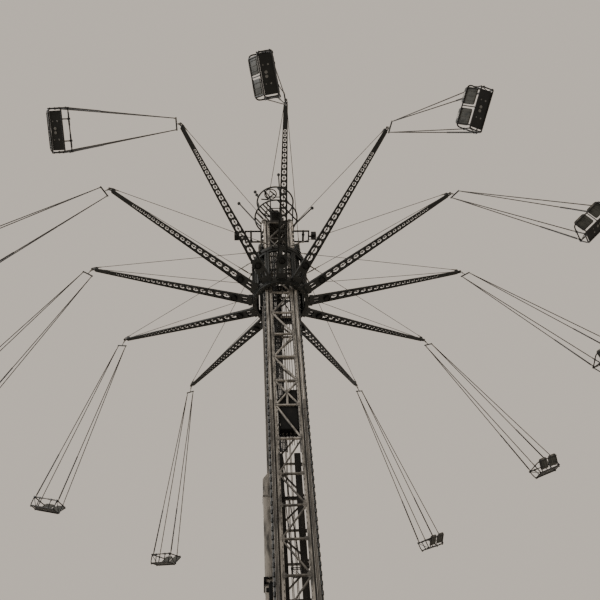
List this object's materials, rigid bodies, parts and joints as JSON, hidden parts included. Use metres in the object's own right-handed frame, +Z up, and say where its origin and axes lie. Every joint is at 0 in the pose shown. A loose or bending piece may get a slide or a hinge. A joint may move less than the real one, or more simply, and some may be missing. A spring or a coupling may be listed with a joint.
{
  "type": "chair swing ride",
  "caption": "Tower swing ride: lattice mast, climbing carriage, turning star of arms, and double chairs flung outward on cables.",
  "frame": {"origin": "centre of the base plate's underside, on the mast's axis", "axes": "+Z up the mast, -Y towards the side the picture looks at, +X to the right in it"},
  "size_m": [19.0776, 19.1965, 30.542],
  "materials": {
    "dark_steel": "satin",
    "mast_paint": "matte",
    "pale_steel": "satin",
    "rope_steel": "satin",
    "seat_plastic": "satin"
  },
  "bodies": {
    "mast": {"base_frame": "dark_steel", "mast_chord_01": "mast_paint", "mast_chord_02": "mast_paint", "mast_chord_03": "mast_paint", "mast_chord_04": "mast_paint", "mast_side_front": "mast_paint", "mast_side_right": "mast_paint", "mast_side_back": "mast_paint", "mast_side_left": "mast_paint", "mast_cap": "pale_steel", "crown_cage": "dark_steel", "head_sheaves": "dark_steel", "top_rod": "dark_steel", "left_rod": "dark_steel", "right_rod": "dark_steel", "side_platform_right": "dark_steel", "side_platform_left": "dark_steel", "cable_duct": "mast_paint", "junction_box": "dark_steel", "hoist_guides": "dark_steel"},
    "carriage": {"carriage_frame": "dark_steel", "slewing_motor_01": "dark_steel", "slewing_motor_02": "dark_steel"},
    "star": {"star_hub": "dark_steel", "arm_01": "dark_steel", "arm_02": "dark_steel", "arm_03": "dark_steel", "arm_04": "dark_steel", "arm_05": "dark_steel", "arm_06": "dark_steel", "arm_07": "dark_steel", "arm_08": "dark_steel", "arm_09": "dark_steel", "arm_10": "dark_steel", "arm_11": "dark_steel", "arm_12": "dark_steel"},
    "swing_01": {"hanger_01": "rope_steel", "chair_01": "seat_plastic"},
    "swing_02": {"hanger_02": "rope_steel", "chair_02": "seat_plastic"},
    "swing_03": {"hanger_03": "rope_steel", "chair_03": "seat_plastic"},
    "swing_04": {"hanger_04": "rope_steel", "chair_04": "seat_plastic"},
    "swing_05": {"hanger_05": "rope_steel", "chair_05": "seat_plastic"},
    "swing_06": {"hanger_06": "rope_steel", "chair_06": "seat_plastic"},
    "swing_07": {"hanger_07": "rope_steel", "chair_07": "seat_plastic"},
    "swing_08": {"hanger_08": "rope_steel", "chair_08": "seat_plastic"},
    "swing_09": {"hanger_09": "rope_steel", "chair_09": "seat_plastic"},
    "swing_10": {"hanger_10": "rope_steel", "chair_10": "seat_plastic"},
    "swing_11": {"hanger_11": "rope_steel", "chair_11": "seat_plastic"},
    "swing_12": {"hanger_12": "rope_steel", "chair_12": "seat_plastic"}
  },
  "joints": [
    {"name": "lift", "type": "slide", "parent": "mast", "child": "carriage", "axis": [0, 0, 1], "range_m": [-17.6, 0.25]},
    {"name": "star_spin", "type": "hinge", "parent": "carriage", "child": "star", "pos_m": [0, 0, 24.4], "axis": [0, 0, 1], "continuous": true},
    {"name": "chair_swing_01", "type": "hinge", "parent": "star", "child": "swing_01", "pos_m": [5.99889, 0.11518, 24.4], "axis": [-0.2656, -0.9641, 0], "range_deg": [-31.8, 8]},
    {"name": "chair_swing_02", "type": "hinge", "parent": "star", "child": "swing_02", "pos_m": [5.1376, 3.0992, 24.4], "axis": [0.2368, -0.9715, 0], "range_deg": [-31.3, 8]},
    {"name": "chair_swing_03", "type": "hinge", "parent": "star", "child": "swing_03", "pos_m": [2.89969, 5.25279, 24.4], "axis": [0.742, -0.6704, 0], "range_deg": [-33.2, 8]},
    {"name": "chair_swing_04", "type": "hinge", "parent": "star", "child": "swing_04", "pos_m": [-0.11518, 5.99889, 24.4], "axis": [0.9715, -0.2368, 0], "range_deg": [-31.5, 8]},
    {"name": "chair_swing_05", "type": "hinge", "parent": "star", "child": "swing_05", "pos_m": [-3.0992, 5.1376, 24.4], "axis": [0.9668, 0.2554, 0], "range_deg": [-28, 8]},
    {"name": "chair_swing_06", "type": "hinge", "parent": "star", "child": "swing_06", "pos_m": [-5.25279, 2.89969, 24.4], "axis": [0.7278, 0.6858, 0], "range_deg": [-28.4, 8]},
    {"name": "chair_swing_07", "type": "hinge", "parent": "star", "child": "swing_07", "pos_m": [-5.99889, -0.11518, 24.4], "axis": [0.2571, 0.9664, 0], "range_deg": [-30, 8]},
    {"name": "chair_swing_08", "type": "hinge", "parent": "star", "child": "swing_08", "pos_m": [-5.1376, -3.0992, 24.4], "axis": [-0.2773, 0.9608, 0], "range_deg": [-32, 8]},
    {"name": "chair_swing_09", "type": "hinge", "parent": "star", "child": "swing_09", "pos_m": [-2.89969, -5.25279, 24.4], "axis": [-0.7254, 0.6884, 0], "range_deg": [-33.3, 8]},
    {"name": "chair_swing_10", "type": "hinge", "parent": "star", "child": "swing_10", "pos_m": [0.11518, -5.99889, 24.4], "axis": [-0.9732, 0.23, 0], "range_deg": [-31, 8]},
    {"name": "chair_swing_11", "type": "hinge", "parent": "star", "child": "swing_11", "pos_m": [3.0992, -5.1376, 24.4], "axis": [-0.9511, -0.309, 0], "range_deg": [-32.5, 8]},
    {"name": "chair_swing_12", "type": "hinge", "parent": "star", "child": "swing_12", "pos_m": [5.25279, -2.89969, 24.4], "axis": [-0.7071, -0.7071, 0], "range_deg": [-32.4, 8]}
  ]
}
